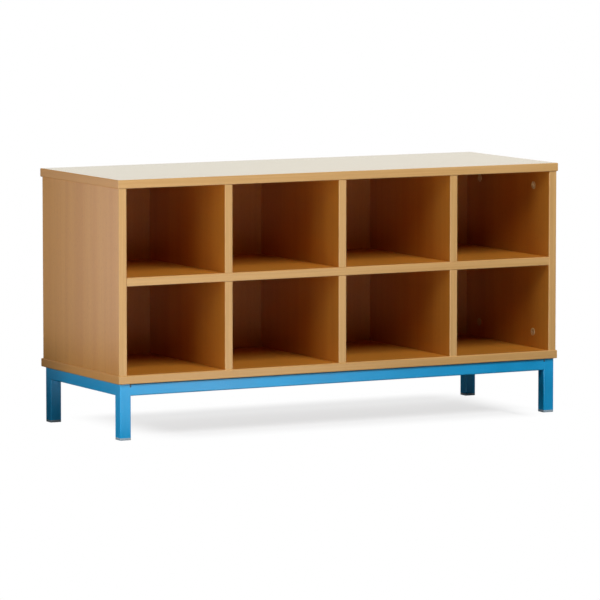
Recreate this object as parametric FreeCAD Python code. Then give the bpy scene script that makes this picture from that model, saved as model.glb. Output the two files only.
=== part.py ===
import FreeCAD, Part
import math
import os

from FreeCAD import Vector

# Cloakroom bench: a carcass of faced boards with eight open compartments on a square-tube steel frame.
# All lengths are in millimetres. X runs along the bench, the open front faces -Y, and Z is up.
# The origin is at the middle of the footprint, on the floor.

# Overall sizes
bench_width = 1050.0
bench_depth = 380.0
bench_height = 540.0

# Boards and their edging
board_thickness = 18.0
edging_thickness = 2.0
edging_round_share = 0.9
side_overhang = 2.0
front_overhang = 2.0
rear_overhang = 5.0
inner_compartment_width = 251.0

# Steel frame
base_level = 117.0
tube_size = 25.0
tube_wall = 1.5
tube_corner_radius = 2.5
frame_side_inset = 5.0
frame_front_inset = 5.0
frame_rear_inset = 11.0
seam_start_gap = 5.5
inner_bead_leg = 3.5

# Feet: a flange under the tube end and a hollow ribbed plug inside it
foot_flange_height = 5.0
foot_chamfer = 1.0
foot_plug_height = 18.0
foot_plug_wall = 2.0
foot_rib_thickness = 1.4
foot_rib_reach = 1.5
foot_fit_gap = 0.2
foot_rib_height_shares = (0.3, 0.6, 0.9)

# Hidden fasteners and their bores are drawn with flat sides, because round ones would make up most of the
# model's facets. Their diameters are measured across the flats.
fastener_sides = 8
cam_rim_sides = 24
screw_head_sides = 6

# Wood dowels
dowel_diameter = 8.0
dowel_length = 30.0
dowel_face_depth = 10.0
dowel_gap = 0.1
dowel_glue_room = 1.0
upper_dowel_setback = 60.0
lower_dowel_setback = 92.0
back_dowel_shares = (-0.4, 0.0, 0.4)

# Cam fittings: a round housing in the face of a board grips the head of a bolt that comes through its end
cam_diameter = 14.6
cam_bore_gap = 0.2
cam_setback = 34.0
cam_front_setback = 67.0
cam_rear_setback = 74.0
cam_rim_diameter = 16.8
cam_rim_height = 0.8
cam_floor = 1.0
cam_wall = 1.6
cam_core_diameter = 3.0
cam_neck_slot = 3.6
cam_slot_angle = 190.0
cam_entry_angle = 70.0
cam_recess_length = 8.0
cam_recess_width = 1.4
cam_recess_depth = 2.6
bolt_shank_diameter = 7.0
bolt_shank_bore_diameter = 8.0
bolt_thread_diameter = 5.0
bolt_thread_length = 11.0
bolt_neck_diameter = 3.0
bolt_head_diameter = 6.6
bolt_head_thickness = 2.4
bolt_gap = 0.1

# Hexagon head screws, driven up into the base panel from inside the frame rails, so that no head shows. A
# wider access hole in the rail's lower wall lets the head and its driver in.
screw_shank_diameter = 4.8
screw_bite = 13.0
screw_head_width = 8.0
screw_head_height = 3.0
screw_gap = 0.2
screw_access_diameter = 11.0
long_rail_screw_shares = (-0.36, 0.0, 0.36)
side_rail_screw_share = -0.2

# Places that follow from the sizes above
half_width = bench_width / 2
half_depth = bench_depth / 2
half_board = board_thickness / 2
edging_round = edging_thickness * edging_round_share
base_top = base_level + board_thickness
top_under = bench_height - board_thickness
side_height = top_under - base_top
compartment_height = (side_height - board_thickness) / 2
shelf_under = base_top + compartment_height
shelf_top = shelf_under + board_thickness
side_outer = half_width - side_overhang
side_inner = side_outer - board_thickness
carcass_front = front_overhang - half_depth
carcass_rear = half_depth - rear_overhang
back_face = carcass_rear - board_thickness
divider_pitch = inner_compartment_width + board_thickness
frame_outer = half_width - frame_side_inset
frame_front = frame_front_inset - half_depth
frame_rear = half_depth - frame_rear_inset
rail_under = base_level - tube_size
cam_axis_depth = half_board
cam_room_width = cam_diameter - 2 * cam_wall
cam_room_height = bolt_head_diameter + 2 * cam_bore_gap
cam_depth = cam_axis_depth + cam_room_height / 2 + cam_floor

EAST = Vector(1, 0, 0)
WEST = Vector(-1, 0, 0)
NORTH = Vector(0, 1, 0)
UP = Vector(0, 0, 1)
DOWN = Vector(0, 0, -1)

# Solids that share one node, and the holes that each board or rail is drilled with
fittings = {"cam_housings": [], "cam_bolts": [], "dowels": [], "frame_screws": [], "weld_seams": []}
holes = {}


def save(name, shape):
    """Writes one node and prints how many solids it has and their volume in cubic centimetres."""
    shape.exportStep("parts/%s.step" % name)
    print("%-28s %2d %9.2f" % (name, len(shape.Solids), shape.Volume / 1000))


def block(x0, x1, y0, y1, z0, z1):
    """A box between two values on each axis."""
    return Part.makeBox(x1 - x0, y1 - y0, z1 - z0, Vector(x0, y0, z0))


def polar(radius, degrees):
    """A point of the XY plane, by its distance and direction from the origin."""
    angle = math.radians(degrees)
    return Vector(radius * math.cos(angle), radius * math.sin(angle), 0)


def flat_sided(sides, width, length, start, direction):
    """A regular prism, measured across its flats, that starts at a point and runs in a direction."""
    step = 360 / sides
    corner_radius = width / 2 / math.cos(math.radians(step / 2))
    corners = [polar(corner_radius, (i + 0.5) * step) for i in range(sides)]
    solid = Part.Face(Part.makePolygon(corners + corners[:1])).extrude(UP * length)
    solid.Placement = FreeCAD.Placement(start, FreeCAD.Rotation(UP, direction))
    return solid


def prism(corners, radii, run):
    """Extrudes a right-angled outline along run. Each corner has its own radius, zero for a sharp one."""
    edges = []
    turns = []
    for i, corner in enumerate(corners):
        back = corners[i - 1].sub(corner).normalize()
        ahead = corners[(i + 1) % len(corners)].sub(corner).normalize()
        start = corner.add(back * radii[i])
        end = corner.add(ahead * radii[i])
        centre = corner.add((back + ahead) * radii[i])
        middle = centre.add(corner.sub(centre).normalize() * radii[i]) if radii[i] else corner
        turns.append((start, middle, end))
    for i, (start, middle, end) in enumerate(turns):
        if radii[i]:
            edges.append(Part.Arc(start, middle, end).toShape())
        edges.append(Part.makeLine(end, turns[(i + 1) % len(turns)][0]))
    return Part.Face(Part.Wire(edges)).extrude(run)


def square_bar(x0, x1, y0, y1, z0, z1, axis, radius):
    """A bar between two values on each axis, whose four edges along axis (X, Y or Z) are rounded."""
    low = Vector(x0, y0, z0)
    high = Vector(x1, y1, z1)
    if axis == "X":
        corners = [low, Vector(x0, y1, z0), Vector(x0, y1, z1), Vector(x0, y0, z1)]
        run = EAST * (high.x - low.x)
    elif axis == "Y":
        corners = [low, Vector(x1, y0, z0), Vector(x1, y0, z1), Vector(x0, y0, z1)]
        run = NORTH * (high.y - low.y)
    else:
        corners = [low, Vector(x1, y0, z0), Vector(x1, y1, z0), Vector(x0, y1, z0)]
        run = UP * (high.z - low.z)
    return prism(corners, [radius] * len(corners), run)


def edges_at(shape, level):
    """The edges of a shape that lie flat at one height."""
    return [e for e in shape.Edges if all(round(v.Z - level, 6) == 0 for v in e.Vertexes)]


def bore(node, diameter, depth, start, direction):
    """Notes a hole that a node's piece is drilled with."""
    hole = flat_sided(fastener_sides, diameter, depth, start, direction)
    holes.setdefault(node, []).append(hole)


def drilled(node, piece):
    """Cuts a piece's noted holes out of it."""
    if node not in holes:
        return piece
    return piece.cut(Part.makeCompound(holes[node]))


# Joints between boards


def stem(sections, start, direction):
    """Flat-sided lengths, each given as its number of sides, width and length, end to end along one line."""
    pieces = []
    for sides, width, length in sections:
        pieces.append(flat_sided(sides, width, length, start, direction))
        start = start.add(direction * length)
    return pieces[0].fuse(pieces[1:])


def dowel(seat, into, face_node, end_node):
    """A dowel at the meeting of two boards, short in one board's face and long in the other's end."""
    away = into * -1
    bore_diameter = dowel_diameter + 2 * dowel_gap
    bore(face_node, bore_diameter, dowel_face_depth, seat, away)
    bore(end_node, bore_diameter, dowel_length - dowel_face_depth + dowel_glue_room, seat, into)
    start = seat.add(away * dowel_face_depth)
    fittings["dowels"].append(flat_sided(fastener_sides, dowel_diameter, dowel_length, start, into))


def wedge(radius, first, last, height, start):
    """A slice about the Z axis, from one direction to another in degrees, with a flat-sided rim."""
    steps = math.ceil((last - first) * fastener_sides / 360)
    corners = [polar(radius, first + (last - first) * i / steps) for i in range(steps + 1)]
    solid = Part.Face(Part.makePolygon([Vector()] + corners + [Vector()])).extrude(UP * height)
    solid.translate(start)
    return solid


def cam_housing():
    """The cam: axis on Z with its rim on the face at zero, the bolt arriving from +X, locked on its head.

    The head goes in by the wide entry, and turning the cam then slides its narrow slot round the neck."""
    body = flat_sided(fastener_sides, cam_diameter, cam_depth, Vector(), DOWN)
    rim = flat_sided(cam_rim_sides, cam_rim_diameter, cam_rim_height, Vector(), UP)
    room_floor = Vector(0, 0, -cam_axis_depth - cam_room_height / 2)
    room = flat_sided(fastener_sides, cam_room_width, cam_room_height, room_floor, UP)
    core = flat_sided(fastener_sides, cam_core_diameter, cam_room_height, room_floor, UP)
    locked = cam_entry_angle / 2
    opened = locked - cam_slot_angle
    slot_floor = Vector(0, 0, -cam_axis_depth - cam_neck_slot / 2)
    neck_slot = wedge(cam_diameter, opened, locked, cam_neck_slot, slot_floor)
    entry_end = opened + cam_entry_angle / 2
    entry = wedge(cam_diameter, entry_end - cam_entry_angle, entry_end, cam_room_height, room_floor)
    hollow = room.fuse([neck_slot, entry]).cut(core)
    recess_floor = cam_rim_height - cam_recess_depth
    half_length = cam_recess_length / 2
    half_slot = cam_recess_width / 2
    along = block(-half_length, half_length, -half_slot, half_slot, recess_floor, cam_rim_height)
    across = block(-half_slot, half_slot, -half_length, half_length, recess_floor, cam_rim_height)
    return body.fuse(rim).cut([hollow, along, across])


def cam_bolt():
    """The bolt: it lies along X at the board's mid-plane, thread outside the board, head inside the cam."""
    shank_end = cam_setback - cam_diameter / 2 - 2 * cam_bore_gap
    head_end = cam_setback - cam_core_diameter / 2 - bolt_gap
    sections = [
        (fastener_sides, bolt_thread_diameter, bolt_thread_length),
        (fastener_sides, bolt_shank_diameter, shank_end),
        (fastener_sides, bolt_neck_diameter, head_end - bolt_head_thickness - shank_end),
        (fastener_sides, bolt_head_diameter, bolt_head_thickness),
    ]
    return stem(sections, Vector(cam_setback + bolt_thread_length, 0, -cam_axis_depth), WEST)


def cam_joint(centre, to_end, outward, end_node, face_node):
    """A cam in the face of one board, and its bolt through that board's end into the face of another."""
    turn = FreeCAD.Rotation(to_end, outward.cross(to_end), outward, "ZXY")
    place = FreeCAD.Placement(centre, turn)
    for name, solid in (("cam_housings", cam_housing()), ("cam_bolts", cam_bolt())):
        solid.Placement = place.multiply(solid.Placement)
        fittings[name].append(solid)
    inward = outward * -1
    meeting = centre.add(to_end * cam_setback).add(inward * cam_axis_depth)
    bore(end_node, cam_diameter + 2 * cam_bore_gap, cam_depth + cam_bore_gap, centre, inward)
    bore(end_node, bolt_shank_bore_diameter, cam_setback, meeting, to_end * -1)
    bore(face_node, bolt_thread_diameter + 2 * bolt_gap, bolt_thread_length + bolt_gap, meeting, to_end)


# Boards


def edged_all_round(name, z0):
    """A flat board with edging on four sides: long strips front and rear, short strips between them."""
    z1 = z0 + board_thickness
    slab = block(-half_width, half_width, -half_depth, half_depth, z0, z1)
    slab = slab.makeFillet(edging_round, edges_at(slab, z0) + edges_at(slab, z1))
    x = half_width - edging_thickness
    y = half_depth - edging_thickness
    save(name + "_panel", drilled(name + "_panel", slab.common(block(-x, x, -y, y, z0, z1))))
    save(name + "_edging_front", slab.common(block(-half_width, half_width, -half_depth, -y, z0, z1)))
    save(name + "_edging_rear", slab.common(block(-half_width, half_width, y, half_depth, z0, z1)))
    save(name + "_edging_left", slab.common(block(-half_width, -x, -y, y, z0, z1)))
    save(name + "_edging_right", slab.common(block(x, half_width, -y, y, z0, z1)))


def side_panel(side, x0):
    """A standing board between base and top, with edging on its front and rear edges."""
    x1 = x0 + board_thickness
    slab = square_bar(x0, x1, carcass_front, carcass_rear, base_top, top_under, "Z", edging_round)
    front = carcass_front + edging_thickness
    rear = carcass_rear - edging_thickness
    node = side + "_side_panel"
    save(node, drilled(node, slab.common(block(x0, x1, front, rear, base_top, top_under))))
    save(side + "_side_edging_front", slab.common(block(x0, x1, carcass_front, front, base_top, top_under)))
    save(side + "_side_edging_rear", slab.common(block(x0, x1, rear, carcass_rear, base_top, top_under)))


def middle_shelf():
    """The shelf runs the full length between the side panels, with edging on its front edge."""
    front = carcass_front + edging_thickness
    corners = [
        Vector(-side_inner, carcass_front, shelf_under),
        Vector(-side_inner, front, shelf_under),
        Vector(-side_inner, front, shelf_top),
        Vector(-side_inner, carcass_front, shelf_top),
    ]
    edging = prism(corners, [edging_round, 0, 0, edging_round], EAST * (2 * side_inner))
    core = block(-side_inner, side_inner, front, back_face, shelf_under, shelf_top)
    save("middle_shelf", drilled("middle_shelf", core))
    save("middle_shelf_edging", edging)


def divider(node, x, z0):
    """An upright board in one row of compartments, with edging on its front edge."""
    x0 = x - half_board
    x1 = x + half_board
    front = carcass_front + edging_thickness
    corners = [
        Vector(x0, carcass_front, z0),
        Vector(x1, carcass_front, z0),
        Vector(x1, front, z0),
        Vector(x0, front, z0),
    ]
    edging = prism(corners, [edging_round, edging_round, 0, 0], UP * compartment_height)
    core = block(x0, x1, front, back_face, z0, z0 + compartment_height)
    save(node, drilled(node, core))
    save(node + "_edging", edging)


def place_joints():
    """Sets out every dowel and cam before the boards are cut."""
    for place, x in divider_places():
        for y in setbacks(upper_dowel_setback):
            dowel(Vector(x, y, top_under), DOWN, "top_panel", "upper_divider_" + place)
            dowel(Vector(x, y, shelf_top), UP, "middle_shelf", "upper_divider_" + place)
        for y in setbacks(lower_dowel_setback):
            dowel(Vector(x, y, shelf_under), DOWN, "middle_shelf", "lower_divider_" + place)
            dowel(Vector(x, y, base_top), UP, "base_panel", "lower_divider_" + place)
    middle = (carcass_front + back_face) / 2
    for share in back_dowel_shares:
        x = share * 2 * side_inner
        y = back_face + half_board
        dowel(Vector(x, y, top_under), DOWN, "top_panel", "back_panel")
        dowel(Vector(x, y, base_top), UP, "base_panel", "back_panel")
    for side, outward in (("left", WEST), ("right", EAST)):
        node = side + "_side_panel"
        inner = outward.x * side_inner
        x = outward.x * (side_inner + half_board)
        dowel(Vector(x, middle, top_under), DOWN, "top_panel", node)
        dowel(Vector(x, middle, base_top), UP, "base_panel", node)
        for y in setbacks(upper_dowel_setback):
            dowel(Vector(inner, y, shelf_under + half_board), outward * -1, node, "middle_shelf")
        for y in (carcass_front + cam_front_setback, carcass_rear - cam_rear_setback):
            cam_joint(Vector(inner, y, top_under - cam_setback), UP, outward * -1, node, "top_panel")
            cam_joint(Vector(inner, y, base_top + cam_setback), DOWN, outward * -1, node, "base_panel")


def divider_places():
    """The three upright lines of dividers, by name and place along the bench."""
    return (("left", -divider_pitch), ("centre", 0), ("right", divider_pitch))


def setbacks(distance):
    """Two places across the depth, the same distance from the front edge and from the back panel."""
    return (carcass_front + distance, back_face - distance)


def carcass():
    """All the boards, and the back panel that closes the rear between the side panels."""
    edged_all_round("top", top_under)
    edged_all_round("base", base_level)
    side_panel("left", -side_outer)
    side_panel("right", side_inner)
    middle_shelf()
    for place, x in divider_places():
        divider("upper_divider_" + place, x, shelf_top)
        divider("lower_divider_" + place, x, base_top)
    back = block(-side_inner, side_inner, back_face, carcass_rear, base_top, top_under)
    save("back_panel", drilled("back_panel", back))


# Steel frame


def tube(x0, x1, y0, y1, z0, z1, axis):
    """A length of square tube with rounded corners."""
    outside = square_bar(x0, x1, y0, y1, z0, z1, axis, tube_corner_radius)
    dx, dy, dz = (0 if axis == name else tube_wall for name in "XYZ")
    return outside.cut(block(x0 + dx, x1 - dx, y0 + dy, y1 - dy, z0 + dz, z1 - dz))


def frame_screw(node, x, y):
    """A screw whose head bears on the inside of a rail's upper wall, over an access hole in the lower wall."""
    seat = base_level - tube_wall
    sections = [
        (screw_head_sides, screw_head_width, screw_head_height),
        (fastener_sides, screw_shank_diameter, tube_wall + screw_bite),
    ]
    fittings["frame_screws"].append(stem(sections, Vector(x, y, seat - screw_head_height), UP))
    bore_diameter = screw_shank_diameter + 2 * screw_gap
    bore(node, screw_access_diameter, tube_size / 2, Vector(x, y, rail_under), UP)
    bore(node, bore_diameter, 2 * tube_wall, Vector(x, y, seat - tube_wall), UP)
    bore("base_panel", bore_diameter, screw_bite + screw_gap, Vector(x, y, base_level), UP)


def place_screws():
    """Three screws along each long rail and one in each side rail."""
    half_tube = tube_size / 2
    for share in long_rail_screw_shares:
        frame_screw("front_rail", share * bench_width, frame_front + half_tube)
        frame_screw("rear_rail", share * bench_width, frame_rear - half_tube)
    y = side_rail_screw_share * bench_depth
    frame_screw("left_rail", half_tube - frame_outer, y)
    frame_screw("right_rail", frame_outer - half_tube, y)


def seam(corner, along, into):
    """Weld metal, dressed flush, between a rail's end and the rounded corner of a leg.

    The corner is the point where the two flat faces would meet if the leg's corner were sharp. One side of
    the section runs back along the leg's face and the other runs into the joint along the rail's end."""
    r = tube_corner_radius
    tip = corner.add(along * r)
    root = corner.add(into * r)
    centre = tip.add(into * r)
    middle = centre.add(corner.sub(centre).normalize() * r)
    edges = [Part.makeLine(tip, corner), Part.makeLine(corner, root), Part.Arc(root, middle, tip).toShape()]
    height = tube_size - r - seam_start_gap
    return Part.Face(Part.Wire(edges)).extrude(UP * height)


def leg_seams(side_x, side_y):
    """The two dressed seams and the inner bead at the top of the leg in one corner of the frame."""
    outer_x = side_x * frame_outer
    outer_y = frame_front if side_y < 0 else frame_rear
    inner_x = outer_x - side_x * tube_size
    inner_y = outer_y - side_y * tube_size
    level = rail_under + tube_corner_radius
    out_x = EAST * side_x
    out_y = NORTH * side_y
    long_seam = seam(Vector(inner_x, outer_y, level), out_x, out_y * -1)
    side_seam = seam(Vector(outer_x, inner_y, level), out_y, out_x * -1)
    heel = Vector(inner_x, inner_y, level)
    bead_corners = [heel, heel.sub(out_x * inner_bead_leg), heel.sub(out_y * inner_bead_leg), heel]
    bead = Part.Face(Part.makePolygon(bead_corners)).extrude(UP * (tube_size - 2 * tube_corner_radius))
    fittings["weld_seams"] += [long_seam, side_seam, bead]


def foot(x0, y0):
    """A plastic insert: a chamfered flange under the tube, and a hollow plug with three ribs inside it."""
    x1 = x0 + tube_size
    y1 = y0 + tube_size
    flange = square_bar(x0, x1, y0, y1, 0, foot_flange_height, "Z", tube_corner_radius)
    flange = flange.makeChamfer(foot_chamfer, edges_at(flange, 0))
    rib_inset = tube_wall + foot_fit_gap
    plug_inset = rib_inset + foot_rib_reach
    hollow_inset = plug_inset + foot_plug_wall
    top = foot_flange_height + foot_plug_height

    def bar(inset, z0, z1):
        return block(x0 + inset, x1 - inset, y0 + inset, y1 - inset, z0, z1)

    solids = [bar(plug_inset, foot_flange_height, top)]
    for share in foot_rib_height_shares:
        level = foot_flange_height + share * foot_plug_height
        solids.append(bar(rib_inset, level - foot_rib_thickness, level))
    return flange.fuse(solids).removeSplitter().cut(bar(hollow_inset, foot_flange_height, top))


def frame():
    """Four legs up to the base panel, the rails between them, the feet, the screws and the seams."""
    west = -frame_outer
    east = frame_outer - tube_size
    north = frame_rear - tube_size
    inner_west = west + tube_size
    inner_south = frame_front + tube_size
    for depth, y in (("front", frame_front), ("rear", north)):
        for side, x in (("left", west), ("right", east)):
            save(
                "leg_%s_%s" % (depth, side),
                tube(x, x + tube_size, y, y + tube_size, foot_flange_height, base_level, "Z"),
            )
            save("foot_%s_%s" % (depth, side), foot(x, y))
            leg_seams(-1 if side == "left" else 1, -1 if depth == "front" else 1)
        node = depth + "_rail"
        save(node, drilled(node, tube(inner_west, east, y, y + tube_size, rail_under, base_level, "X")))
    for side, x in (("left", west), ("right", east)):
        node = side + "_rail"
        save(node, drilled(node, tube(x, x + tube_size, inner_south, north, rail_under, base_level, "Y")))


os.makedirs("parts", exist_ok=True)
place_joints()
place_screws()
carcass()
frame()
for name, solids in fittings.items():
    save(name, Part.makeCompound(solids))
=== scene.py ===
# %% [markdown]
# # A cloakroom bench in beech board and blue steel
# The real bench is a box of faced chipboard with eight open compartments. It is screwed down on a
# welded frame of square tube, which is powder coated and stands on four plastic inserts. The CAD model
# already holds every board, edging strip, tube and fastener at its true size, so this lesson dresses
# those pieces and models the few that earn finer shapes. Everything is in metres, with the floor at
# zero.

# %% Load the bench
import math

import bmesh
import bpy
from mathutils import Matrix, Vector


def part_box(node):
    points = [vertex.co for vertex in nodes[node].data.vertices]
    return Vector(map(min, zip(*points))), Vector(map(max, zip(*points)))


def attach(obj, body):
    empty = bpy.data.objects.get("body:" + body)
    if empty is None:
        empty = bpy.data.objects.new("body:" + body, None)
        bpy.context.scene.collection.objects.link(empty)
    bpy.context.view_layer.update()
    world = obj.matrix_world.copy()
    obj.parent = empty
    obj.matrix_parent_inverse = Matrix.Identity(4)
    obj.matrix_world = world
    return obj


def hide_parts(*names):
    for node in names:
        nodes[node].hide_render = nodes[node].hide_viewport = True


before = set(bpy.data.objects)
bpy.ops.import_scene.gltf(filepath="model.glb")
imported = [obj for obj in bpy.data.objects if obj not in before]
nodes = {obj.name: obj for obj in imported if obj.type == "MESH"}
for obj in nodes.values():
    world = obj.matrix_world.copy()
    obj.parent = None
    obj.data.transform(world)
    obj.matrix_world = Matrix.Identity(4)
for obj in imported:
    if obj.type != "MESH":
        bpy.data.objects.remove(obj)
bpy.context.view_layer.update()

MM = 0.001
print("CAD nodes:", len(nodes))

# %% [markdown]
# ## Where the camera stands
# A catalogue picture of furniture is taken from far away with a long lens, so that upright edges stay
# upright and the far end hardly shrinks. The camera stands more than ten metres off at the front left
# and looks down by less than six degrees. Its height and direction come from the edges of the boards in
# the picture.

# %% Camera
CAMERA_PLACE = Vector((-4.93154, -9.32017, 1.32145))
CAMERA_LOOK = Vector((0.46512, 0.87947, -0.10098))
LENS_LENGTH, SENSOR_WIDTH = 296.92, 36


def nothing_selected():
    bpy.ops.object.select_all(action="DESELECT")


def turned_to(direction):
    """The rotation of a camera or a lamp that looks in this direction."""
    return direction.to_track_quat("-Z", "Y").to_euler()


nothing_selected()
bpy.ops.object.camera_add(location=CAMERA_PLACE, rotation=turned_to(CAMERA_LOOK))
camera = bpy.context.object
camera.name = "long_lens"
camera.data.lens = LENS_LENGTH
camera.data.sensor_width = SENSOR_WIDTH
bpy.context.scene.camera = camera
print("Camera", round(CAMERA_PLACE.length, 2), "m from the middle of the floor")

# %% [markdown]
# ## Shader maths as plain Python
# A finish is a tree of nodes, and wiring sums by hand hides what they mean. Here one small class wraps a
# socket, so that an expression such as 1 - grain * 0.2 adds the Math nodes itself. A second class holds
# the tree of one finish and has a single method that adds any other node: its type, its settings, its
# sockets. The other methods only name the few nodes that the recipes below use again and again.

# %% A socket in a sum
class Wire:
    """A socket whose value can be used in a Python expression."""

    def __init__(self, finish, socket):
        self.finish = finish
        self.socket = socket

    def __add__(self, other):
        return self.finish.maths("ADD", self, other)

    def __radd__(self, other):
        return self.finish.maths("ADD", other, self)

    def __sub__(self, other):
        return self.finish.maths("SUBTRACT", self, other)

    def __rsub__(self, other):
        return self.finish.maths("SUBTRACT", other, self)

    def __mul__(self, other):
        return self.finish.maths("MULTIPLY", self, other)

    def __rmul__(self, other):
        return self.finish.maths("MULTIPLY", other, self)


print("A wire knows", [name.strip("_") for name, value in vars(Wire).items() if callable(value)])

# %% The tree of one finish
class Finish:
    """The node tree of a material or of the world."""

    def __init__(self, owner):
        self.owner = owner
        owner.use_nodes = True
        self.tree = owner.node_tree
        self.tree.nodes.clear()

    def node(self, kind, settings=(), sockets=(), output=0):
        """Any node, with its settings, its values or links, and the output that is wanted."""
        made = self.tree.nodes.new(kind)
        for name, value in dict(settings).items():
            setattr(made, name, value)
        for name, value in dict(sockets).items():
            if isinstance(value, Wire):
                self.tree.links.new(value.socket, made.inputs[name])
            else:
                made.inputs[name].default_value = value
        return Wire(self, made.outputs[output]) if len(made.outputs) else None

    def maths(self, operation, *values):
        """A Math node, also for what has no sign in Python."""
        return self.node("ShaderNodeMath", {"operation": operation}, dict(enumerate(values)))

    def parts(self, vector, axes):
        """The parts of a vector along the axes that are named, such as "XY"."""
        return [self.node("ShaderNodeSeparateXYZ", sockets={0: vector}, output=axis) for axis in axes]

    def place(self, scale=1, centre=(0, 0, 0)):
        """Object coordinates in metres, centred on a point and scaled evenly or axis by axis."""
        start = self.node("ShaderNodeTexCoord", output="Object")
        moved = self.node("ShaderNodeVectorMath", {"operation": "SUBTRACT"}, {0: start, 1: centre})
        by_axis = scale if isinstance(scale, (list, tuple)) else (scale, scale, scale)
        return self.node("ShaderNodeMapping", sockets={"Vector": moved, "Scale": by_axis})

    def noise(self, scale, detail=2.0, rough=0.5, centre=(0, 0, 0)):
        """Noise with so many waves to the metre, evenly or axis by axis."""
        where = self.place(scale, centre)
        sockets = {"Vector": where, "Scale": 1.0, "Detail": detail, "Roughness": rough}
        return self.node("ShaderNodeTexNoise", sockets=sockets)

    def rise(self, value, low, high):
        """Zero below low, one above high, and a smooth rise between them."""
        sockets = {"Value": value, "From Min": low, "From Max": high}
        return self.node("ShaderNodeMapRange", {"interpolation_type": "SMOOTHSTEP"}, sockets)

    def mix(self, share, first, second, blend="MIX"):
        """A colour that turns from first to second, or is tinted by it."""
        settings = {"data_type": "RGBA", "blend_type": blend}
        return self.node("ShaderNodeMix", settings, {0: share, 6: first, 7: second}, output=2)

    def bump(self, height, depth, strength):
        sockets = {"Height": height, "Distance": depth, "Strength": strength}
        return self.node("ShaderNodeBump", sockets=sockets)

    def surface(self, **sockets):
        """The last two nodes: the shader, with names such as base_color, and the output."""
        named = {}
        for name, value in sockets.items():
            named[name.replace("_", " ").title().replace("Ior", "IOR")] = value
        shader = self.node("ShaderNodeBsdfPrincipled", sockets=named)
        self.node("ShaderNodeOutputMaterial", sockets={"Surface": shader})
        return self.owner


def new_finish(name):
    return Finish(bpy.data.materials.new(name))


print("A finish has", [name for name in vars(Finish) if not name.startswith("_")])

# %% Colours
def shade(red, green, blue):
    """A colour in linear light, as the shader wants it."""
    return (red, green, blue, 1.0)


def neutral(level):
    """A grey without any tint."""
    return shade(level, level, level)


WHITE = neutral(1.0)
print("White is", WHITE)

# %% [markdown]
# ## A white studio
# The picture is cut out on white. A large softbox hangs in front of the bench and a smaller one stands
# near its left end, so the fronts are bright, the side fades towards the rear and the compartments
# darken by themselves. A third one at the rear right lights what the picture doesn't show. The world
# gives only a quiet light from everywhere. Where the camera looks it is plain white, and a reflection
# sees that white backdrop behind the bench and a dark room to the left of it, which is why the top
# shines and the side does not. The side's own milky sheen comes from a small card behind the left end,
# which lights nothing and is there to be mirrored.

# %% World
WORLD_LIGHT = 0.06
BACKDROP = shade(0.86, 0.93, 0.88)
BACKDROP_EASTWARD = (-0.05, 0.38)
BACKDROP_NORTHWARD = (-0.30, 0.10)


def rays(finish):
    """What the camera sees, straight or through glass, and what reflections see, one or zero."""
    camera_rays = finish.node("ShaderNodeLightPath", output="Is Camera Ray")
    through = finish.node("ShaderNodeLightPath", output="Is Transmission Ray")
    return camera_rays + through, finish.node("ShaderNodeLightPath", output="Is Glossy Ray")


world = bpy.data.worlds.new("white_studio")
bpy.context.scene.world = world
air = Finish(world)
direct, mirrored = rays(air)
heading = air.node("ShaderNodeTexCoord", output="Generated")
eastward, northward = air.parts(heading, "XY")
behind = air.rise(eastward, *BACKDROP_EASTWARD) * air.rise(northward, *BACKDROP_NORTHWARD)
strength = direct + mirrored * behind + (1 - direct - mirrored) * WORLD_LIGHT
glow = {"Color": air.mix(mirrored, WHITE, BACKDROP), "Strength": strength}
air.node("ShaderNodeOutputWorld", sockets={"Surface": air.node("ShaderNodeBackground", sockets=glow)})
bpy.context.scene.view_settings.view_transform = "Standard"
print("World sheds", WORLD_LIGHT, "and looks white")

# %% Lamps
LAMPS = {
    "front_softbox": {"place": (0.0, -3.0, 3.3), "size": 1.9, "watts": 155.0},
    "left_softbox": {"place": (-1.70, -0.52, 0.48), "size": 0.9, "watts": 9.9},
    "rear_softbox": {"place": (1.8, 2.4, 1.8), "size": 1.6, "watts": 70.0},
    "sheen_card": {"place": (-1.25, 0.76, 0.37), "size": 0.68, "watts": 3.6},
}
AIM = Vector((0, 0, 0.3))


def softbox(name, place, size, watts):
    """A square area lamp that faces the bench. The card is only mirrored, the others only light."""
    place = Vector(place)
    bpy.ops.object.light_add(type="AREA", location=place, rotation=turned_to(AIM - place))
    lamp = bpy.context.object
    lamp.name = name
    lamp.data.shape = "SQUARE"
    lamp.data.size = size
    lamp.data.energy = watts
    lamp.visible_glossy = name == "sheen_card"
    lamp.visible_diffuse = name != "sheen_card"
    return lamp


lamps = [softbox(name, **facts) for name, facts in LAMPS.items()]
print("Lamps:", [(lamp.name, lamp.data.energy) for lamp in lamps])

# %% [markdown]
# ## Two flags
# In the picture the rear left leg stands in a soft shade, and the front right leg is dark on its left
# face. Photographers make such shades with flags, black cards that hold some light off. One stands on
# the floor to the left of the bench, from beside its middle to past its rear corner. The other is low
# and stands beside the front right leg. Neither is there for the camera or for reflections.

# %% Black flags
FLAGS = {
    "rear_flag": {"aside": -0.70, "front": 0.022, "rear": 0.500, "top": 0.170},
    "low_flag": {"aside": 0.43, "front": -0.30, "rear": -0.02, "top": 0.085},
}

velvet = new_finish("black_velvet")
pile = velvet.noise(700)
velvet.surface(base_color=velvet.mix(pile, neutral(0.010), neutral(0.020)), roughness=0.9)


def flag(name, aside, front, rear, top):
    """An upright card on the floor that runs from front to rear."""
    middle = (aside, (front + rear) / 2, top / 2)
    nothing_selected()
    bpy.ops.mesh.primitive_plane_add(size=1, location=middle, rotation=(0, math.pi / 2, 0))
    card = bpy.context.object
    card.name = name
    card.scale = (top, rear - front, 1)
    card.visible_camera = False
    card.visible_glossy = False
    card.data.materials.append(velvet.owner)


for name, facts in FLAGS.items():
    flag(name, **facts)
print("Flags:", list(FLAGS))

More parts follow.
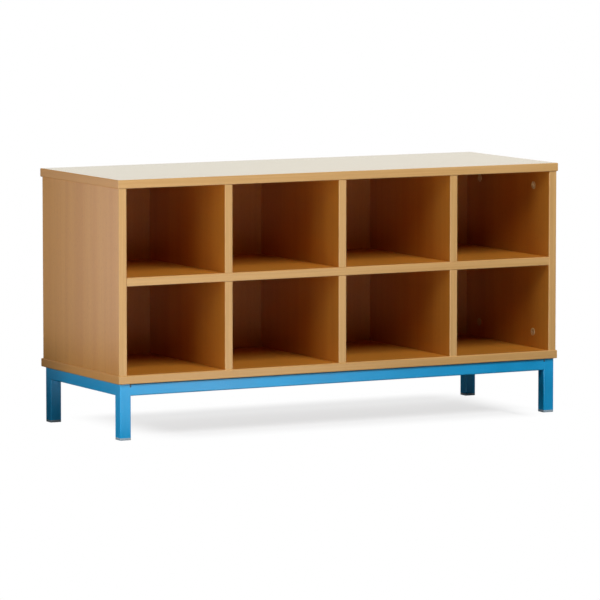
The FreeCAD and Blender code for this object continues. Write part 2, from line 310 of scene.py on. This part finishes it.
# %% [markdown]
# ## The floor
# A photographer would roll out white paper. For the light that falls on the bench it is paper too, but a
# grey one, so that it doesn't light the frame from below. Where the camera looks straight at it, it is
# plain white except under the bench, where a share of real paper keeps the pale grey shadow that is seen
# there. For reflections only, the paper in front of the bench's left part glows as a painted pool of
# light, and nothing of the rest glows. That lays the thin haze on the fronts, a painted reflection which
# fades out towards the right end.

# %% Paper floor
FLOOR_SIZE = 24.0
PAPER_GREY = 0.35
SHADOW_SHARE = 0.28
SHADOW_ACROSS = {"low": -0.33, "high": 0.40, "fade": 0.14}
SHADOW_DEPTH = {"low": -0.14, "high": 0.15, "fade": 0.12}
GLARE, GLARE_SLANT = 5.0, 0.53
GLARE_ENDS_ACROSS = (-0.50, 0.26)
GLARE_ENDS_DEPTH = (-0.60, -0.15)

nothing_selected()
bpy.ops.mesh.primitive_plane_add(size=FLOOR_SIZE, location=(0, 0, 0))
floor = bpy.context.object
floor.name = "paper_floor"
paper = new_finish("white_paper")
direct, mirrored = rays(paper)
tone = paper.mix(paper.noise(90, detail=3), neutral(0.87), neutral(0.91))
tone = paper.mix(direct, neutral(PAPER_GREY), tone)
lit = paper.node("ShaderNodeBsdfDiffuse", sockets={"Color": tone})
across, depth = paper.parts(paper.place(), "XY")


def within(along, low, high, fade):
    """One between two values, and a smooth fall to zero past them."""
    return paper.rise(along, low - fade, low) * (1 - paper.rise(along, high, high + fade))


# Painted pool of light: for glossy rays the paper glows in front of the bench's left part.
glare_across = 1 - paper.rise(across + GLARE_SLANT * depth, *GLARE_ENDS_ACROSS)
glare_depth = 1 - paper.rise(depth, *GLARE_ENDS_DEPTH)
strength = direct + mirrored * GLARE * (glare_across * glare_depth)
white = paper.node("ShaderNodeEmission", sockets={"Color": WHITE, "Strength": strength})
under = within(across, **SHADOW_ACROSS) * within(depth, **SHADOW_DEPTH)
share = direct * (1 - SHADOW_SHARE * under) + mirrored
looks = paper.node("ShaderNodeMixShader", sockets={0: share, 1: lit, 2: white})
paper.node("ShaderNodeOutputMaterial", sockets={"Surface": looks})
floor.data.materials.append(paper.owner)
print("Floor of", FLOOR_SIZE, "m")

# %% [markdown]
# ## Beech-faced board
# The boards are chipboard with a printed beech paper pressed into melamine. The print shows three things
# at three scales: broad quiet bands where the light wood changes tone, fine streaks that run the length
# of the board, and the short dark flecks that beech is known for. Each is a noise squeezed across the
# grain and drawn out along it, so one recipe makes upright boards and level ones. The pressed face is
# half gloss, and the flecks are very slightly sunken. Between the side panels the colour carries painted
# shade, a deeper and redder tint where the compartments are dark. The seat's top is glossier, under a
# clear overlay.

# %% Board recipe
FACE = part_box("right_side_panel")[0].x
BACK_FRONT, BACK_REAR = (corner.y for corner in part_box("back_panel"))
# The deeper, redder tint of the painted shade inside the compartments.
INNER_PAINTED_SHADE = shade(0.91, 0.78, 0.45)
BEECH = {
    "dark": shade(0.570, 0.246, 0.050),
    "light": shade(0.632, 0.296, 0.068),
    "warm": shade(0.604, 0.256, 0.052),
    "fleck": shade(0.330, 0.140, 0.040),
}


def drawn_out(axis, across, along):
    """A scale that is fine across the grain and slow along it."""
    scale = [across, across, across]
    scale["xyz".index(axis)] = along
    return scale


def beech_board(title, axis, satin=0.26, overlay=0.0, inner_shade_share=1.0):
    """The last argument is the share of painted shade, a deeper and redder tint, that the board takes
    between the side panels.
    """
    board = new_finish(title)
    bands = board.noise(drawn_out(axis, across=24, along=0.5), detail=1)
    streaks = board.noise(drawn_out(axis, across=95, along=2.4), detail=3, rough=0.6)
    hairs = board.noise(drawn_out(axis, across=620, along=9))
    flecks = board.noise(drawn_out(axis, across=900, along=120), detail=1)
    patches = board.noise(drawn_out(axis, across=31, along=0.9), detail=1, centre=(3, 5, 7))
    tone = board.rise(bands * 0.5 + streaks * 0.30 + hairs * 0.20, 0.34, 0.66)
    flecks = board.rise(flecks, 0.60, 0.72)
    wood = board.mix(tone, BEECH["dark"], BEECH["light"])
    wood = board.mix(board.rise(patches, 0.45, 0.70) * 0.3, wood, BEECH["warm"])
    wood = board.mix(flecks * 0.30, wood, BEECH["fleck"])
    across, depth = board.parts(board.place(), "XY")
    # Painted shade: between the side panels, up to the back panel, the colour is multiplied by a deeper,
    # redder tint.
    inside = 1 - board.rise(board.maths("ABSOLUTE", across), FACE, FACE + 1 * MM)
    inside = inside * (1 - board.rise(depth, BACK_FRONT, BACK_REAR))
    return board.surface(
        base_color=board.mix(inside * inner_shade_share, wood, INNER_PAINTED_SHADE, "MULTIPLY"),
        roughness=satin + hairs * 0.08 + flecks * 0.05,
        ior=1.45,
        coat_weight=overlay,
        coat_roughness=0.06,
        normal=board.bump(hairs * 0.5 - flecks, depth=0.03 * MM, strength=0.35),
    )


seat_board = beech_board("beech_seat_board", "x", satin=0.10, overlay=0.4, inner_shade_share=0.0)
level_board = beech_board("beech_level_board", "x")
upright_board = beech_board("beech_upright_board", "z")
print("Boards:", seat_board.name, level_board.name, upright_board.name)

# %% [markdown]
# ## Thick edging
# Every edge that shows is closed by a strip of 2 mm plastic, printed to match and rounded over after it
# is glued. It is a shade lighter and plainer than the board, and has only fine streaks along its length
# and a few short dashes. The strips on the short ends of the top and the base are duller, and are
# painted a shade browner as painted shade for the ends, which face away from the front light.

# %% Edging recipe
EDGING = {
    "dark": shade(0.585, 0.330, 0.116),
    "light": shade(0.650, 0.385, 0.150),
    "brown": shade(0.600, 0.262, 0.056),
    "dash": shade(0.400, 0.200, 0.070),
}


def beech_edging(axis, brown=0.0, dull=0.0):
    strip = new_finish("beech_edging_along_" + axis)
    fine = drawn_out(axis, across=260, along=3.5)
    streaks = strip.noise(fine, detail=3, rough=0.55, centre=(2, 1, 4))
    drift = strip.noise(drawn_out(axis, across=20, along=1.6), detail=1)
    dashes = strip.noise(drawn_out(axis, across=1100, along=90), detail=1)
    tone = strip.rise(streaks * 0.6 + drift * 0.4, 0.36, 0.64)
    wood = strip.mix(tone, EDGING["dark"], EDGING["light"])
    # Painted shade: the end strips turn part of the way to a browner colour.
    wood = strip.mix(brown, wood, EDGING["brown"])
    return strip.surface(
        base_color=strip.mix(strip.rise(dashes, 0.62, 0.74) * 0.18, wood, EDGING["dash"]),
        roughness=0.26 + dull + streaks * 0.10,
        ior=1.4,
        normal=strip.bump(streaks, depth=0.02 * MM, strength=0.25),
    )


edgings = {
    "x": beech_edging("x"),
    # The short end strips: duller, and with painted shade.
    "y": beech_edging("y", brown=0.7, dull=0.1),
    "z": beech_edging("z"),
}
print("Edgings:", [finish.name for finish in edgings.values()])

# %% [markdown]
# ## Powder-coated steel
# The frame is sprayed with charged powder and baked. The coat flows into a skin with a faint orange peel
# of a millimetre or two, its blue drifts a little with thickness, and small pips of powder stand in it.
# The upright seams between legs and long rails are ground flush and vanish under it, except at their
# upper end: there the seam is left open, and a short dark line is painted into the coat as the
# shade inside the open joint.

# %% Frame finish
SEAM_INTO_LEG, SEAM_OPEN = 1 * MM, 7.5 * MM
SEAM_DARK_TO, SEAM_GONE_AT = 1.3 * MM, 2.0 * MM
front_leg_low, front_leg_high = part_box("leg_front_right")
rear_leg_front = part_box("leg_rear_right")[0].y
SEAM_OFF_MIDDLE = front_leg_low.x + SEAM_INTO_LEG
SEAM_OPEN_FROM = front_leg_high.z - SEAM_OPEN
LEG_ROW_CENTRE = (rear_leg_front + front_leg_high.y) / 2
LEG_ROW_REACH = (rear_leg_front - front_leg_high.y) / 2
BLUE = {
    "deep": shade(0.002, 0.310, 0.640),
    "bright": shade(0.006, 0.345, 0.700),
    "pip": shade(0.020, 0.390, 0.730),
    # The near-black of the painted shade in the open seams.
    "open": shade(0.002, 0.020, 0.050),
}


def open_seam(coat):
    """Painted shade: one on the short open joints at the top of the legs' seams, and zero elsewhere."""
    across, depth, height = coat.parts(coat.place(), "XYZ")
    off_seam = coat.maths("ABSOLUTE", coat.maths("ABSOLUTE", across) - SEAM_OFF_MIDDLE)
    off_row = coat.maths("ABSOLUTE", depth - LEG_ROW_CENTRE)
    line = 1 - coat.rise(off_seam, SEAM_DARK_TO, SEAM_GONE_AT)
    line = line * coat.rise(height, SEAM_OPEN_FROM, SEAM_OPEN_FROM + 1 * MM)
    return line * coat.rise(off_row, LEG_ROW_REACH, LEG_ROW_REACH + 1 * MM)


def blue_coat(name, ripple=0.0):
    """Ripple lets the rings of a weld show through the coat."""
    coat = new_finish(name)
    peel = coat.noise(620, detail=1.5)
    drift = coat.rise(coat.noise(9), 0.35, 0.65)
    pips = coat.rise(coat.noise(1500, detail=0), 0.70, 0.80)
    rings = coat.noise((120, 120, 900), detail=1)
    blue = coat.mix(drift, BLUE["deep"], BLUE["bright"])
    blue = coat.mix(pips * 0.4, blue, BLUE["pip"])
    relief = peel * 0.6 + pips * 0.5 + rings * ripple
    return coat.surface(
        # Painted shade: the open seams' line is darkened nearly to black.
        base_color=coat.mix(open_seam(coat) * 0.9, blue, BLUE["open"]),
        roughness=0.30 + peel * 0.10 + drift * 0.04,
        ior=1.6,
        normal=coat.bump(relief, depth=0.06 * MM, strength=0.5),
    )


tube_finish = blue_coat("blue_powder_coat")
seam_finish = blue_coat("blue_coat_over_weld", ripple=3.0)
print("Frame:", tube_finish.name, "and", seam_finish.name)

# %% [markdown]
# ## Zinc, plastic and dowel wood
# The screws and bolts are bright zinc-plated steel, whose skin is cloudy and faintly blue or yellow. The
# cams are cast in zinc, and their colour is painted a dull brass: a painted reflection of the warm light
# of the compartment's wood. The feet are grey polypropylene with the fine spark-eroded grain of
# their mould, rubbed and a little soiled where they meet the floor. The dowels are plain compressed
# beech with grain along their length.

# %% Zinc
YELLOWED = shade(0.74, 0.66, 0.48)


def zinc_skin(title, dark, light, rough, metal_share, grain_depth):
    plate = new_finish(title)
    clouds = plate.rise(plate.noise(260, detail=3), 0.35, 0.65)
    tint = plate.rise(plate.noise(70, detail=1, centre=(1, 2, 3)), 0.4, 0.7)
    return plate.surface(
        base_color=plate.mix(tint * 0.3, plate.mix(clouds, dark, light), YELLOWED),
        roughness=rough + clouds * 0.14,
        metallic=metal_share,
        normal=plate.bump(plate.noise(2400), depth=grain_depth, strength=0.4),
    )


zinc = zinc_skin(
    "zinc_plate",
    dark=shade(0.60, 0.62, 0.66), light=shade(0.76, 0.77, 0.78),
    rough=0.28, metal_share=1.0, grain_depth=0.01 * MM,
)
# Painted reflection: the cams' dull brass colour stands for the warm light that the wood throws onto
# them.
cast_zinc = zinc_skin(
    "cast_zinc_warm_reflection",
    dark=shade(0.60, 0.40, 0.17), light=shade(0.70, 0.50, 0.24),
    rough=0.42, metal_share=0.3, grain_depth=0.03 * MM,
)
print("Fittings:", zinc.name, cast_zinc.name)

# %% Plastic and dowel wood
SOLE_SOILED, SOLE_CLEAN = 0.2 * MM, 1.8 * MM
PLASTIC = {
    "dark": shade(0.330, 0.430, 0.500),
    "light": shade(0.370, 0.470, 0.540),
    "soiled": shade(0.130, 0.125, 0.120),
}
DOWEL = {"dark": shade(0.46, 0.29, 0.14), "light": shade(0.60, 0.41, 0.22)}


def grey_plastic():
    foot = new_finish("grey_polypropylene")
    grain = foot.noise(1900, detail=1)
    blotch = foot.rise(foot.noise(140), 0.4, 0.65)
    [height] = foot.parts(foot.place(), "Z")
    rubbed = (1 - foot.rise(height, SOLE_SOILED, SOLE_CLEAN)) * blotch
    grey = foot.mix(blotch, PLASTIC["dark"], PLASTIC["light"])
    return foot.surface(
        base_color=foot.mix(rubbed * 0.5, grey, PLASTIC["soiled"]),
        roughness=0.50 + grain * 0.12 - rubbed * 0.1,
        normal=foot.bump(grain, depth=0.04 * MM, strength=0.5),
    )


def dowel_beech():
    peg = new_finish("dowel_beech")
    grain = peg.noise((900, 900, 60))
    return peg.surface(
        base_color=peg.mix(peg.rise(grain, 0.35, 0.65), DOWEL["dark"], DOWEL["light"]),
        roughness=0.62 + grain * 0.2,
        normal=peg.bump(grain, depth=0.08 * MM, strength=0.5),
    )


plastic = grey_plastic()
peg_wood = dowel_beech()
print("Feet and dowels:", plastic.name, peg_wood.name)

# %% [markdown]
# ## Which finish goes where
# A printed board is cut so that its grain follows its longer sense of use: upright in the sides,
# dividers and back, lengthwise in the top, shelf and base. Each strip of edging follows the edge that it
# covers.

# %% Dress the CAD nodes
def finish_for(name):
    if name in ("cam_bolts", "frame_screws"):
        return zinc
    if name == "cam_housings":
        return cast_zinc
    if name == "dowels":
        return peg_wood
    if name == "weld_seams":
        return seam_finish
    if name.startswith("foot_"):
        return plastic
    if name.startswith("leg_") or name.endswith("_rail"):
        return tube_finish
    level = name.startswith(("top_", "base_", "middle_"))
    if name == "top_panel":
        return seat_board
    if "edging" not in name:
        return level_board if level else upright_board
    if not level:
        return edgings["z"]
    return edgings["y" if name.endswith(("_left", "_right")) else "x"]


dressed = {}
for name, node in nodes.items():
    finish = finish_for(name)
    for slot in node.material_slots:
        slot.material = finish
    dressed[finish.name] = dressed.get(finish.name, 0) + 1
print("Nodes dressed:", dressed)

# %% [markdown]
# ## Tools for modelling
# An operator works on everything that is selected, and a loaded bench arrives selected. So each piece
# starts from an empty selection, and faces are picked in code by where they lie and which way they face.

# %% Into the mesh and out of it
def make_active(piece):
    nothing_selected()
    piece.select_set(True)
    bpy.context.view_layer.objects.active = piece


def start_edit():
    bpy.ops.object.mode_set(mode="EDIT")
    bpy.ops.mesh.select_mode(type="FACE")


def end_edit():
    """Merges doubles, turns the faces outward and leaves edit mode."""
    bpy.ops.mesh.select_mode(type="VERT")
    bpy.ops.mesh.select_all(action="SELECT")
    bpy.ops.mesh.remove_doubles(threshold=0.001 * MM)
    bpy.ops.mesh.normals_make_consistent(inside=False)
    bpy.ops.object.mode_set(mode="OBJECT")


def place_in_mesh(piece):
    """Moves an object's place into its mesh, so that the object sits at the origin."""
    make_active(piece)
    bpy.ops.object.transform_apply(location=True, rotation=True, scale=True)


def size_of(piece):
    return [round(v / MM, 2) for v in piece.dimensions]


print("Selected now:", len(bpy.context.selected_objects))

# %% Picking faces and edges
LEVEL = 0.99
CLOSE = 0.001 * MM


def pick_faces(test):
    """In edit mode, selects the faces that pass the test."""
    bpy.ops.mesh.select_mode(type="FACE")
    mesh = bmesh.from_edit_mesh(bpy.context.object.data)
    for face in mesh.faces:
        face.select_set(bool(test(face)))
    mesh.select_flush_mode()
    bmesh.update_edit_mesh(bpy.context.object.data)


def pick_edges(test):
    """In edit mode, selects the edges that pass the test."""
    bpy.ops.mesh.select_mode(type="EDGE")
    mesh = bmesh.from_edit_mesh(bpy.context.object.data)
    for face in mesh.faces:
        face.select_set(False)
    for edge in mesh.edges:
        edge.select_set(bool(test(edge)))
    bmesh.update_edit_mesh(bpy.context.object.data)


def looks_up(face):
    return face.normal.z > LEVEL


def looks_down(face):
    return face.normal.z < -LEVEL


def stands(edge):
    """The edge runs from one height to another."""
    return abs(edge.verts[0].co.z - edge.verts[1].co.z) > 1 * MM


def lies_at(edge, height):
    return all(abs(vert.co.z - height) < CLOSE for vert in edge.verts)


def off_axis(edge):
    """How far the nearer end of the edge is from the upright axis."""
    return min(vert.co.xy.length for vert in edge.verts)


def draw_out(height, widen=1.0, about=(0, 0, 0)):
    """Extrudes the selected face up or down, then widens or narrows it about an upright axis."""
    bpy.ops.mesh.extrude_region_move(TRANSFORM_OT_translate={"value": (0, 0, height)})
    bpy.ops.transform.resize(value=(widen, widen, 1), center_override=about)


print("A face is level when its normal's height is over", LEVEL)

# %% [markdown]
# ## The cams
# The top and base are drawn against the sides by cams: round zinc castings let into the inner faces,
# turned with a screwdriver so that they grip a bolt's head. From the front they are small bright discs
# near the compartment corners. A disc is the start. Its back is inset and extruded to the body that
# fills the bore, a lip is left round the face, and shapes are cut out of it: the cross recess, an arrow
# that points to the bolt, the room for the bolt's head and the slot in which its neck travels.

# %% One cam
CAM_RIM, CAM_RIM_HEIGHT, CAM_RIM_EDGE = 8.4 * MM, 0.8 * MM, 0.3 * MM
CAM_BODY, CAM_DEPTH = 7.25 * MM, 13.5 * MM
CAM_TAPER_LENGTH, CAM_TAPER = 0.8 * MM, 0.9
LIP_FLAT, LIP_SLOPE = 0.35 * MM, 0.9 * MM
DISH_DEPTH, DISH_TAPER = 0.22 * MM, 0.97

nothing_selected()
bpy.ops.mesh.primitive_cylinder_add(
    vertices=64, radius=CAM_RIM, depth=CAM_RIM_HEIGHT, location=(0, 0, CAM_RIM_HEIGHT / 2)
)
cam = bpy.context.object
place_in_mesh(cam)
start_edit()
pick_faces(looks_down)
bpy.ops.mesh.inset(thickness=CAM_RIM - CAM_BODY)
draw_out(CAM_TAPER_LENGTH - CAM_DEPTH)
draw_out(-CAM_TAPER_LENGTH, CAM_TAPER)
pick_faces(looks_up)
bpy.ops.mesh.inset(thickness=LIP_FLAT)
bpy.ops.mesh.inset(thickness=LIP_SLOPE)
draw_out(-DISH_DEPTH, DISH_TAPER)
pick_edges(lambda e: lies_at(e, CAM_RIM_HEIGHT) and off_axis(e) > CAM_RIM - 0.01 * MM)
bpy.ops.mesh.bevel(offset=CAM_RIM_EDGE, segments=3, profile=0.5)
end_edit()
print("Cam blank", size_of(cam), "mm")

# %% Cross recess and arrow
BLADE_LENGTH, BLADE_WIDTH, BLADE_DEPTH = 8.0 * MM, 1.5 * MM, 2.6 * MM
BLADE_TAPER, BLADE_PROUD = 0.72, 0.4 * MM
ARROW_SIZE, ARROW_THICKNESS, ARROW_STRETCH = 1.0 * MM, 0.5 * MM, (1.2, 0.9, 1)
ARROW_OUT, ARROW_LEVEL = 5.3 * MM, 0.58 * MM


def blade(length, width):
    """A tapered screwdriver blade that stands in the cam's face and a little proud of it."""
    nothing_selected()
    middle = CAM_RIM_HEIGHT - BLADE_DEPTH / 2 + BLADE_PROUD / 2
    bpy.ops.mesh.primitive_cube_add(size=1, location=(0, 0, middle))
    bar = bpy.context.object
    bar.scale = (length, width, BLADE_DEPTH + BLADE_PROUD)
    place_in_mesh(bar)
    start_edit()
    pick_faces(looks_down)
    bpy.ops.transform.resize(value=(BLADE_TAPER, BLADE_TAPER, 1), center_override=(0, 0, 0))
    end_edit()
    return bar


def cut_away(piece, cutter):
    """Takes the cutter's shape out of the piece and removes the cutter."""
    make_active(piece)
    knife = piece.modifiers.new("cut", "BOOLEAN")
    knife.operation = "DIFFERENCE"
    knife.solver = "EXACT"
    knife.object = cutter
    bpy.ops.object.modifier_apply(modifier=knife.name)
    bpy.data.objects.remove(cutter)


cut_away(cam, blade(BLADE_LENGTH, BLADE_WIDTH))
cut_away(cam, blade(BLADE_WIDTH, BLADE_LENGTH))
nothing_selected()
bpy.ops.mesh.primitive_cylinder_add(
    vertices=3, radius=ARROW_SIZE, depth=ARROW_THICKNESS,
    location=(ARROW_OUT, 0, ARROW_LEVEL), rotation=(0, 0, -math.pi / 6),
)
arrow = bpy.context.object
place_in_mesh(arrow)
start_edit()
bpy.ops.mesh.select_all(action="SELECT")
bpy.ops.transform.resize(value=ARROW_STRETCH, center_override=(ARROW_OUT, 0, 0))
end_edit()
cut_away(cam, arrow)
print("Cam with recess:", len(cam.data.polygons), "faces")

# %% Head room and neck slot
BOLT_LEVEL = -9.0 * MM
HEAD_ROOM, HEAD_ROOM_HEIGHT, HEAD_ROOM_EDGE = 5.6 * MM, 6.8 * MM, 0.4 * MM
SLOT_REACH, SLOT_HEIGHT = 9.0 * MM, 3.6 * MM
SLOT_START, SLOT_SWEEP = math.radians(-155), math.radians(190)
ENTRY_START, ENTRY_SWEEP = math.radians(-190), math.radians(70)


def sector(height, start, sweep):
    """A slice of a disc at the bolt's level, made by spinning a rectangle round the cam's axis."""
    nothing_selected()
    bpy.ops.mesh.primitive_plane_add(
        size=1, location=(SLOT_REACH / 2, 0, BOLT_LEVEL), rotation=(math.pi / 2, 0, 0)
    )
    wedge = bpy.context.object
    wedge.scale = (SLOT_REACH, height, 1)
    place_in_mesh(wedge)
    start_edit()
    bpy.ops.mesh.select_all(action="SELECT")
    bpy.ops.mesh.spin(steps=18, angle=sweep, center=(0, 0, 0), axis=(0, 0, 1))
    end_edit()
    wedge.data.transform(Matrix.Rotation(start, 4, "Z"))
    return wedge


def smooth(piece, degrees=35):
    make_active(piece)
    bpy.ops.object.shade_smooth_by_angle(angle=math.radians(degrees))


nothing_selected()
bpy.ops.mesh.primitive_cylinder_add(
    vertices=32, radius=HEAD_ROOM, depth=HEAD_ROOM_HEIGHT, location=(0, 0, BOLT_LEVEL)
)
room = bpy.context.object
place_in_mesh(room)
start_edit()
pick_faces(lambda f: looks_up(f) or looks_down(f))
bpy.ops.mesh.inset(thickness=HEAD_ROOM_EDGE)
end_edit()
cut_away(cam, room)
cut_away(cam, sector(SLOT_HEIGHT, SLOT_START, SLOT_SWEEP))
cut_away(cam, sector(HEAD_ROOM_HEIGHT, ENTRY_START, ENTRY_SWEEP))
start_edit()
end_edit()
smooth(cam)
print("Finished cam:", size_of(cam), "mm,", len(cam.data.polygons), "faces")

# %% Eight cams in their bores
cams_low, cams_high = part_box("cam_housings")
cam_levels = {-1: cams_low.z + CAM_RIM, 1: cams_high.z - CAM_RIM}
cam_rows = (cams_low.y + CAM_RIM, cams_high.y - CAM_RIM)


def cam_place(side, end, y):
    """Face towards the middle of the bench, arrow towards the top or the base."""
    turn = Matrix(((0, 0, -side), (0, side * end, 0), (end, 0, 0))).to_4x4()
    return Matrix.Translation((side * FACE, y, cam_levels[end])) @ turn


def put_copy(model, title, finish, node, place):
    """Puts a copy, with a mesh of its own, of a piece that was modelled at the origin."""
    copy = model.copy()
    copy.data = model.data.copy()
    copy.name = title
    copy.data.transform(place)
    copy.data.materials.clear()
    copy.data.materials.append(finish)
    bpy.context.scene.collection.objects.link(copy)
    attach(copy, "root")
    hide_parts(node)


cam_places = [cam_place(side, end, y) for side in (-1, 1) for end in (-1, 1) for y in cam_rows]
for count, place in enumerate(cam_places, 1):
    put_copy(cam, f"cam_{count}", cast_zinc, "cam_housings", place)
bpy.data.objects.remove(cam)
print("Cams placed:", len(cam_places))

# %% [markdown]
# ## The frame screws
# Eight screws hold the base down. Each goes in through a wide hole in a rail's lower wall, so its
# hexagon head bears inside the tube and is seen only from right below. The head is a six-sided disc with
# its lower corners broken and a round washer face against the steel. The shank is drawn up from a circle
# in short steps that swell and shrink, which is how thread reads at this size.

# %% One screw
HEAD_FLAT, HEAD_HEIGHT = 4.0 * MM, 3.0 * MM
HEAD_INSET, HEAD_BROKEN, HEAD_EDGE = 0.5 * MM, 0.35 * MM, 0.25 * MM
WASHER, WASHER_HEIGHT = 4.6 * MM, 0.7 * MM
HEXAGON_HEIGHT = HEAD_HEIGHT - WASHER_HEIGHT

nothing_selected()
bpy.ops.mesh.primitive_cylinder_add(
    vertices=6, radius=HEAD_FLAT / math.cos(math.pi / 6), depth=HEXAGON_HEIGHT,
    location=(0, 0, HEXAGON_HEIGHT / 2),
)
screw = bpy.context.object
place_in_mesh(screw)
start_edit()
pick_faces(looks_down)
bpy.ops.mesh.inset(thickness=HEAD_INSET)
pick_edges(lambda e: lies_at(e, 0) and off_axis(e) > HEAD_FLAT + 0.3 * MM)
bpy.ops.transform.translate(value=(0, 0, HEAD_BROKEN))
pick_edges(stands)
bpy.ops.mesh.bevel(offset=HEAD_EDGE, segments=2)
end_edit()
print("Screw head", size_of(screw), "mm")

# %% Washer face and thread
WASHER_EDGE = 0.2 * MM
SHANK, TURNS, PITCH, THREAD_SWELL = 2.0 * MM, 9, 1.5 * MM, 1.2
TIP_LENGTH, TIP_TAPER = 0.8 * MM, 0.3

nothing_selected()
bpy.ops.mesh.primitive_cylinder_add(
    vertices=32, radius=WASHER, depth=WASHER_HEIGHT, location=(0, 0, HEAD_HEIGHT - WASHER_HEIGHT / 2)
)
shank = bpy.context.object
place_in_mesh(shank)
start_edit()
pick_edges(lambda e: lies_at(e, HEXAGON_HEIGHT))
bpy.ops.mesh.bevel(offset=WASHER_EDGE, segments=2)
pick_faces(looks_up)
bpy.ops.mesh.inset(thickness=WASHER - SHANK)
for turn in range(TURNS):
    draw_out(PITCH / 2, THREAD_SWELL)
    draw_out(PITCH / 2, 1 / THREAD_SWELL)
draw_out(TIP_LENGTH, TIP_TAPER)
end_edit()
shank.select_set(True)
screw.select_set(True)
bpy.context.view_layer.objects.active = screw
bpy.ops.object.join()
smooth(screw)
print("Finished screw:", size_of(screw), "mm,", len(screw.data.polygons), "faces")

# %% Eight screws in the rails
LONG_RAIL_SCREWS = (-378 * MM, 0, 378 * MM)
SIDE_RAIL_SCREW = -76 * MM
HEAD_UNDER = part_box("frame_screws")[0].z


def middle_of(node):
    node_low, node_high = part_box(node)
    return (node_low + node_high) / 2


spots = [(x, middle_of(rail).y) for rail in ("front_rail", "rear_rail") for x in LONG_RAIL_SCREWS]
spots += [(middle_of(rail).x, SIDE_RAIL_SCREW) for rail in ("left_rail", "right_rail")]
for count, (x, y) in enumerate(spots, 1):
    place = Matrix.Translation((x, y, HEAD_UNDER))
    put_copy(screw, f"frame_screw_{count}", zinc, "frame_screws", place)
bpy.data.objects.remove(screw)
print("Screws placed:", len(spots))

# %% [markdown]
# ## The feet
# Each leg ends in a moulded insert: a square flange that takes the floor's knocks and a hollow plug
# whose thin fins grip the tube. It is modelled upwards from the flange. Its upright corners match the
# tube's corners, its lower edge is rounded, and the sole is sunk a little inside a narrow standing rim.

# %% One foot
FLANGE_HALF, FLANGE_HEIGHT = 12.5 * MM, 5.0 * MM
CORNER_ROUND, SOLE_ROUND, UPPER_ROUND = 2.5 * MM, 0.9 * MM, 0.25 * MM
STANDING_RIM, SOLE_SUNK, SOLE_TAPER = 0.88, 0.7 * MM, 0.96

nothing_selected()
bpy.ops.mesh.primitive_cube_add(size=2 * FLANGE_HALF, location=(0, 0, FLANGE_HEIGHT / 2))
foot = bpy.context.object
foot.scale.z = FLANGE_HEIGHT / (2 * FLANGE_HALF)
place_in_mesh(foot)
start_edit()
pick_edges(stands)
bpy.ops.mesh.bevel(offset=CORNER_ROUND, segments=6)
pick_edges(lambda e: lies_at(e, 0))
bpy.ops.mesh.bevel(offset=SOLE_ROUND, segments=4)
pick_edges(lambda e: lies_at(e, FLANGE_HEIGHT))
bpy.ops.mesh.bevel(offset=UPPER_ROUND, segments=2)
pick_faces(looks_down)
draw_out(0, STANDING_RIM)
draw_out(SOLE_SUNK, SOLE_TAPER)
end_edit()
print("Foot flange", size_of(foot), "mm")

# %% Plug with its fins
PLUG_HALF, FIN_HALF, HOLLOW_HALF = 9.3 * MM, 10.8 * MM, 7.3 * MM
FINS, PLUG_END, HOLLOW_DEPTH = 3, 2.4 * MM, 16 * MM
FIN_STEPS = (
    (3.6 * MM, 1.0),
    (0.2 * MM, FIN_HALF / PLUG_HALF),
    (0.9 * MM, 1.0),
    (0.5 * MM, PLUG_HALF / FIN_HALF),
)
BROAD = 100 * MM * MM

start_edit()
pick_faces(lambda f: looks_up(f) and f.calc_area() > BROAD)
draw_out(0, PLUG_HALF / (FLANGE_HALF - UPPER_ROUND))
for fin in range(FINS):
    for step, widen in FIN_STEPS:
        draw_out(step, widen)
draw_out(PLUG_END)
draw_out(0, HOLLOW_HALF / PLUG_HALF)
draw_out(-HOLLOW_DEPTH)
end_edit()
smooth(foot, degrees=30)
print("Finished foot:", size_of(foot), "mm,", len(foot.data.polygons), "faces")

# %% Four feet
CORNERS = ("front_left", "front_right", "rear_left", "rear_right")

for corner in CORNERS:
    middle = middle_of("foot_" + corner)
    place = Matrix.Translation((middle.x, middle.y, 0))
    put_copy(foot, "moulded_foot_" + corner, plastic, "foot_" + corner, place)
bpy.data.objects.remove(foot)
print("Feet placed:", len(CORNERS))

# %% [markdown]
# ## The inner weld beads
# Outside, the seams of the frame are ground flush before coating. Inside each corner nobody grinds, and
# the bead keeps its ripples, one for each drop of metal. A bead is a round bar drawn up in short
# swelling steps, and two cuts leave only the quarter that fills the corner.

# %% Four rippled beads
BEAD_RADIUS, BEAD_NECK = 2.6 * MM, 0.8
BEAD_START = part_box("front_rail")[0].z + 2.5 * MM
RIPPLES, RIPPLE = 11, 1.7 * MM
RIPPLE_STEPS = ((0.2, 1.22), (0.45, 1.02), (0.35, 0.8037))


def bead(heel, out_x, out_y):
    """The quarter of a rippled bar that lies inside the frame, away from out_x and out_y."""
    nothing_selected()
    bpy.ops.mesh.primitive_circle_add(
        vertices=24, radius=BEAD_RADIUS * BEAD_NECK, fill_type="NGON", location=(*heel, BEAD_START)
    )
    piece = bpy.context.object
    place_in_mesh(piece)
    pivot = (*heel, 0)
    start_edit()
    bpy.ops.mesh.select_all(action="SELECT")
    for drop in range(RIPPLES):
        for share, widen in RIPPLE_STEPS:
            draw_out(RIPPLE * share, widen, pivot)
    for normal in ((out_x, 0, 0), (0, out_y, 0)):
        bpy.ops.mesh.select_all(action="SELECT")
        bpy.ops.mesh.bisect(plane_co=pivot, plane_no=normal, use_fill=True, clear_outer=True)
    end_edit()
    smooth(piece, degrees=60)
    piece.data.materials.append(seam_finish)
    return piece


for corner in CORNERS:
    leg_low, leg_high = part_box("leg_" + corner)
    out_x = 1 if "right" in corner else -1
    out_y = 1 if "rear" in corner else -1
    heel = (leg_low.x if out_x > 0 else leg_high.x, leg_low.y if out_y > 0 else leg_high.y)
    ripple_bead = bead(heel, out_x, out_y)
    ripple_bead.name = "weld_bead_" + corner
    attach(ripple_bead, "root")
print("Beads placed:", len(CORNERS))

# %% [markdown]
